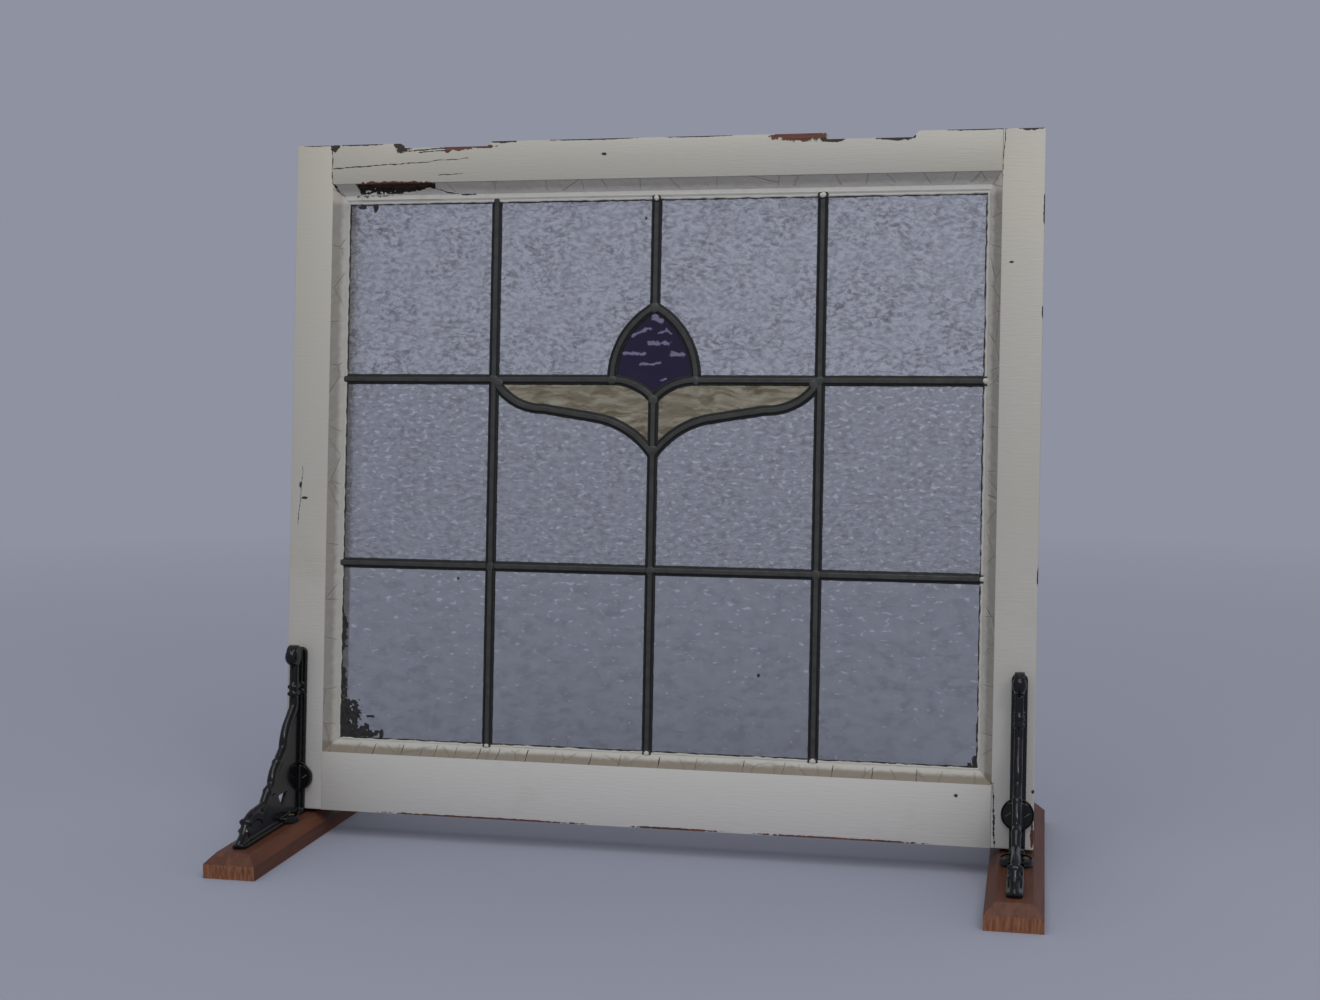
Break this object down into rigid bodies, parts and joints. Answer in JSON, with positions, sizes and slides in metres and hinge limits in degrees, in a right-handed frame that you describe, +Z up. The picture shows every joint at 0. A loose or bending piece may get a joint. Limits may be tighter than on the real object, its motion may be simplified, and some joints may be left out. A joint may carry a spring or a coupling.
{
  "type": "leaded glass window sash on display feet",
  "caption": "Painted timber window sash with a leaded light of textured glass and a tulip motif, held upright on plank feet by iron scroll brackets.",
  "frame": {"origin": "centre of the footprint, on the surface that the feet stand on", "axes": "+X along the sash width, to the right seen from the puttied front; -Y towards the viewer of the puttied front; +Z up"},
  "size_m": [0.72, 0.3422, 0.6547],
  "materials": {
    "black_iron": "black japanned cast iron, semi-gloss",
    "lead": "dull oxidised lead",
    "clear_glass": "clear textured glass with horizontal ripples",
    "painted_timber": "old off-white paint, worn and chipped",
    "purple_glass": "streaky dark purple glass",
    "amber_glass": "streaky amber glass",
    "foot_hardwood": "reddish brown varnished hardwood",
    "putty": "painted linseed putty, cracked"
  },
  "bodies": {
    "root": {"back_bracket_left": "black_iron", "back_bracket_right": "black_iron", "border_came_bottom": "lead", "border_came_left": "lead", "border_came_right": "lead", "border_came_top": "lead", "bottom_pane_1": "clear_glass", "bottom_pane_2": "clear_glass", "bottom_pane_3": "clear_glass", "bottom_pane_4": "clear_glass", "bottom_rail": "painted_timber", "bud_came_left": "lead", "bud_came_right": "lead", "bud_pane": "purple_glass", "centre_came_lower": "lead", "centre_came_upper": "lead", "column_came_left": "lead", "column_came_right": "lead", "front_bracket_left": "black_iron", "front_bracket_right": "black_iron", "leaf_came_left": "lead", "leaf_came_right": "lead", "leaf_pane_left": "amber_glass", "leaf_pane_right": "amber_glass", "leaf_top_came_left": "lead", "leaf_top_came_right": "lead", "left_foot": "foot_hardwood", "left_stile": "painted_timber", "lower_row_came": "lead", "middle_pane_1": "clear_glass", "middle_pane_2": "clear_glass", "middle_pane_3": "clear_glass", "middle_pane_4": "clear_glass", "outer_row_came": "lead", "putty_bottom": "putty", "putty_left": "putty", "putty_right": "putty", "putty_top": "putty", "right_foot": "foot_hardwood", "right_stile": "painted_timber", "top_pane_1": "clear_glass", "top_pane_2": "clear_glass", "top_pane_3": "clear_glass", "top_pane_4": "clear_glass", "top_rail": "painted_timber"}
  },
  "joints": []
}
